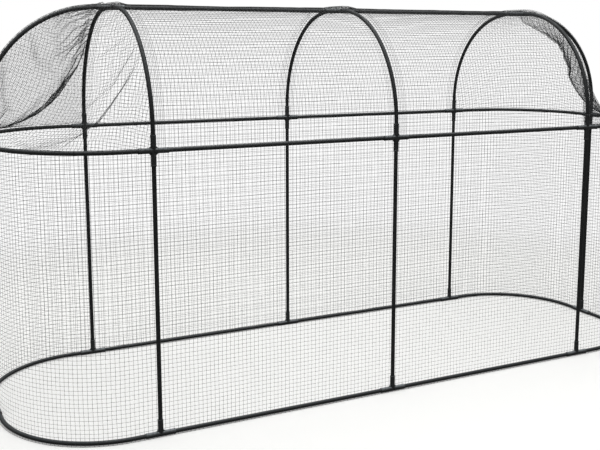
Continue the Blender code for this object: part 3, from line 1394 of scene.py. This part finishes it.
    def cut(self, gore: Gore) -> BMesh:
        """Cut one gore of netting and lay it on the full dome.

        Args:
            gore: The gore.

        Returns:
            The gore in the first octant round the dome's centre.
        """
        centre = np.ones(3) / math.sqrt(3)
        across = np.array([-1.0, 1.0, 0.0]) / math.sqrt(2)
        up = np.cross(centre, across)
        half = QUARTER * self.gore_radius * math.sqrt(2) / 2
        columns, rows = (2 * self.netting.cells(half / share) for share in gore.gather)
        bm = bmesh.new()
        bmesh.ops.create_grid(bm, x_segments=columns, y_segments=rows, size=half)
        headings = {}
        for knot in bm.verts:
            flat = Vector(knot.co)
            angle = flat.length / self.gore_radius
            aside = (flat.x * across + flat.y * up) / max(flat.length, WELD)
            headings[knot] = centre * math.cos(angle) + aside * math.sin(angle)
        spare = [f for f in bm.faces if sum(headings[knot] for knot in f.verts).min() < 0]
        bmesh.ops.delete(bm, geom=spare, context="FACES")
        seams = self.seam_lines()
        for knot in bm.verts:
            heading = np.clip(headings[knot], 0.0, None)
            if knot.is_boundary:
                knot.co = Vector(self.seam_place(heading, seams, gore.fullness))
            else:
                depth, power = gore.dent
                # 1 at the gore's centre and 0 all along its seams
                inwards = float(heading.prod()) * math.sqrt(3) ** 3
                shrink = 1.0 - depth * inwards**power
                knot.co = Vector(self.full_place(heading, gore.fullness)) * shrink
        return bm

    def start(self, gore: Gore) -> Object:
        """Put one gore in the scene, ready to fall.

        Args:
            gore: The gore.

        Returns:
            The gore's net, pinned along its seams.
        """
        bm = self.cut(gore)
        draw = np.random.default_rng(gore.seed)
        bm.verts.index_update()
        pinned = [knot.index for knot in bm.verts if knot.is_boundary]
        for knot in bm.verts:
            if not knot.is_boundary:
                knot.co += self.ripple(gore, knot.co)
                knot.co += Vector(draw.normal(0.0, self.start_stray, 3))
        net = add_object(gore.name, mesh_from(bm, gore.name))
        net.vertex_groups.new(name="seams").add(pinned, 1.0, "REPLACE")
        cloth = net.modifiers.new("fall", "CLOTH")
        settings = cloth.settings
        settings.quality = self.quality
        settings.mass = self.knot_mass
        settings.tension_stiffness = self.stretch
        settings.compression_stiffness = self.squeeze
        settings.shear_stiffness = self.shear
        settings.bending_stiffness = self.bending
        settings.tension_damping = self.damping
        settings.compression_damping = self.damping
        settings.shear_damping = self.damping
        settings.air_damping = self.air
        settings.vertex_group_mass = "seams"
        cloth.collision_settings.use_collision = False
        cloth.point_cache.frame_end = self.frames
        return net

    def eased(self, bm: BMesh, passes: int) -> list[BMVert]:
        """Ease a gore's free knots.

        Args:
            bm: The gore.
            passes: How many times they are eased.

        Returns:
            The free knots.
        """
        free = [knot for knot in bm.verts if not knot.is_boundary]
        axes = {f"use_axis_{axis}": True for axis in "xyz"}
        for _ in range(passes):
            bmesh.ops.smooth_vert(bm, verts=free, factor=self.ease, **axes)
        return free

    def fall(self, nets: list[Object]) -> list[BMesh]:
        """Let the gores hang, and take their shapes.

        Args:
            nets: The gores' nets at their start, which are removed.

        Returns:
            Each gore as it hangs, with its pleats.
        """
        scene = bpy.context.scene
        scene.frame_end = max(scene.frame_end, self.frames)
        for step in range(1, self.frames + 1):
            scene.frame_set(step)
        depsgraph = bpy.context.evaluated_depsgraph_get()
        hung = []
        for gore, net in zip(self.gores, nets):
            mesh = bpy.data.meshes.new_from_object(net.evaluated_get(depsgraph))
            bm = bmesh.new()
            bm.from_mesh(mesh)
            bpy.data.meshes.remove(mesh)
            free = self.eased(bm, self.ease_passes)
            if gore.strands > 1:
                bmesh.ops.subdivide_edges(
                    bm, edges=bm.edges, cuts=gore.strands - 1, use_grid_fill=True
                )
                free = self.eased(bm, 1)
            for knot in free:
                knot.co += self.pleat(gore, knot.co)
                for tuck in gore.tucks:
                    knot.co += self.tuck(tuck, knot.co)
            hung.append(bm)
        for net in nets:
            bpy.data.objects.remove(net, do_unlink=True)
        scene.frame_set(1)
        return hung

    def build(self, material: Material) -> list[Object]:
        """Make the four gores of the two domes.

        Args:
            material: The thread's finish.

        Returns:
            The gores.
        """
        sizes = self.sizes
        made = []
        nets = self.fall([self.start(gore) for gore in self.gores])
        for gore, bm in zip(self.gores, nets):
            turn = Matrix.Diagonal((gore.end.value, gore.side.value, 1.0, 1.0))
            shift = Matrix.Translation(Vector((gore.end.value * sizes.bay, 0.0, sizes.eaves_z)))
            bmesh.ops.transform(bm, matrix=shift @ turn, verts=bm.verts)
            bmesh.ops.recalc_face_normals(bm, faces=bm.faces)
            mesh = self.netting.knit(bm, gore.name)
            node = f"net_dome_{gore.end.word}"
            made.append(add_piece(f"thread_{gore.name}", mesh, material, Slot.NET, node))
        return made


# Room, light and camera


@dataclass(frozen=True)
class Studio:
    """A pale floor that fades into a white background, under one broad soft light."""

    floor_size: float = 40.0
    floor_colour: str = "#ececea"
    floor_bounce: str = "#8a8a88"
    floor_glow: float = 0.21
    fade: tuple[float, float] = (2.6, 4.2)
    sky_low: float = 0.25
    sky_high: float = 0.75
    box_size: float = 6.0
    box_place: tuple[float, float, float] = (0.0, -0.6, 5.0)
    box_power: float = 170.0

    def floor(self) -> Object:
        """Make the floor, which keeps the cage's soft shadow.

        Returns:
            The floor.
        """
        bm = bmesh.new()
        bmesh.ops.create_grid(bm, x_segments=1, y_segments=1, size=self.floor_size / 2)
        floor = add_object("floor", mesh_from(bm, "floor"))
        material = bpy.data.materials.new("studio_floor")
        material.use_nodes = True
        tree = material.node_tree
        tree.nodes.clear()
        seen = add_node(tree, "ShaderNodeLightPath").outputs["Is Camera Ray"]
        paint = add_node(tree, "ShaderNodeBsdfDiffuse", inputs={"Color": linear(self.floor_colour)})
        dull = add_node(tree, "ShaderNodeBsdfDiffuse", inputs={"Color": linear(self.floor_bounce)})
        glow = add_node(tree, "ShaderNodeEmission", inputs={"Strength": self.floor_glow})
        lit = add_node(
            tree, "ShaderNodeAddShader", inputs={0: paint.outputs[0], 1: glow.outputs[0]}
        )
        far_off = add_node(
            tree,
            "ShaderNodeVectorMath",
            {"operation": "LENGTH"},
            {0: add_node(tree, "ShaderNodeTexCoord").outputs["Object"]},
        )
        faded = add_node(
            tree,
            "ShaderNodeMapRange",
            {"interpolation_type": "SMOOTHSTEP"},
            {
                "Value": far_off.outputs["Value"],
                "From Min": self.fade[0],
                "From Max": self.fade[1],
            },
        )
        white = add_node(tree, "ShaderNodeEmission", inputs={"Strength": 1.0})
        shown = add_node(
            tree,
            "ShaderNodeMixShader",
            inputs={0: faded.outputs["Result"], 1: lit.outputs[0], 2: white.outputs[0]},
        )
        both = add_node(
            tree, "ShaderNodeMixShader", inputs={0: seen, 1: dull.outputs[0], 2: shown.outputs[0]}
        )
        add_node(tree, "ShaderNodeOutputMaterial", inputs={"Surface": both.outputs[0]})
        floor.data.materials.append(material)
        floor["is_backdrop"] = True
        return floor

    def sky(self) -> World:
        """Make the room round the cage: white to the eye, and brighter above than at the sides.

        Returns:
            The room.
        """
        world = bpy.data.worlds.new("studio")
        world.use_nodes = True
        tree = world.node_tree
        tree.nodes.clear()
        seen = add_node(tree, "ShaderNodeLightPath").outputs["Is Camera Ray"]
        ways = add_node(
            tree,
            "ShaderNodeSeparateXYZ",
            inputs={0: add_node(tree, "ShaderNodeTexCoord").outputs["Generated"]},
        )
        strength = add_node(
            tree,
            "ShaderNodeMapRange",
            inputs={"Value": ways.outputs["Z"], "To Min": self.sky_low, "To Max": self.sky_high},
        )
        room = add_node(
            tree,
            "ShaderNodeBackground",
            inputs={"Color": linear(WHITE), "Strength": strength.outputs["Result"]},
        )
        white = add_node(tree, "ShaderNodeBackground", inputs={"Color": linear(WHITE)})
        both = add_node(
            tree, "ShaderNodeMixShader", inputs={0: seen, 1: room.outputs[0], 2: white.outputs[0]}
        )
        add_node(tree, "ShaderNodeOutputWorld", inputs={"Surface": both.outputs[0]})
        bpy.context.scene.world = world
        return world

    def softbox(self) -> Object:
        """Hang the broad soft light over the cage.

        Returns:
            The light.
        """
        light = bpy.data.lights.new("softbox", "AREA")
        light.shape = "SQUARE"
        light.size = self.box_size
        light.energy = self.box_power
        lamp = add_object("softbox", light)
        lamp.location = self.box_place
        return lamp

    def build(self) -> None:
        """Set up the room."""
        self.floor()
        self.sky()
        self.softbox()
        bpy.context.scene.view_settings.view_transform = "Standard"


@dataclass(frozen=True)
class PhotographCamera:
    """The camera at the photograph's place and angle."""

    place: tuple[float, float, float] = (-2.3037, -4.3392, 1.7091)
    forwards: tuple[float, float, float] = (0.45515, 0.87588, -0.16024)
    rightwards: tuple[float, float, float] = (0.8876, -0.4606, 0.00349)
    lens: float = 56.66
    sensor: float = 36.0
    shift: tuple[float, float] = (-0.0455, -0.0614)

    def build(self) -> Object:
        """Make the camera and hand it to the scene.

        Returns:
            The camera.
        """
        data = bpy.data.cameras.new("camera")
        data.lens = self.lens
        data.sensor_width = self.sensor
        data.sensor_fit = "HORIZONTAL"
        data.shift_x, data.shift_y = self.shift
        camera = add_object("camera", data)
        back = -Vector(self.forwards).normalized()
        right = Vector(self.rightwards)
        right = (right - right.dot(back) * back).normalized()
        turn = Matrix((right, back.cross(right), back)).transposed()
        camera.matrix_world = Matrix.LocRotScale(Vector(self.place), turn.to_quaternion(), None)
        bpy.context.scene.camera = camera
        return camera


def write_sizes() -> None:
    """Put the CAD box and the dressed box into plain lists."""
    boxes = {"cad": CAD_BOUNDS, "visual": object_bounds()}
    plain = {name: [list(map(float, corner)) for corner in box] for name, box in boxes.items()}


def report(pieces: list[Object]) -> None:
    """Log each piece that was made."""
    for piece in pieces:
        LOG.info("%s: %d faces", piece.name, len(piece.data.polygons))


def main() -> None:
    """Dress the cage and set up its picture."""
    logging.basicConfig(level=logging.INFO, format="%(message)s")
    # Unset, the noise would start from the clock
    noise.seed_set(STRAY_SEED)
    sizes = CageSizes()
    netting = Netting()
    thread = PolyethyleneThread().material()
    PhotographCamera().build()
    Studio().build()
    report(TubeFrame(sizes).build(PowderCoatedSteel().material()))
    report(SleeveFittings(sizes).build(MouldedPolypropylene().material()))
    report(NetPanels(sizes, netting).build(thread))
    report(DomeNets(sizes, netting).build(thread))
    write_sizes()


if __name__ == "__main__":
    main()
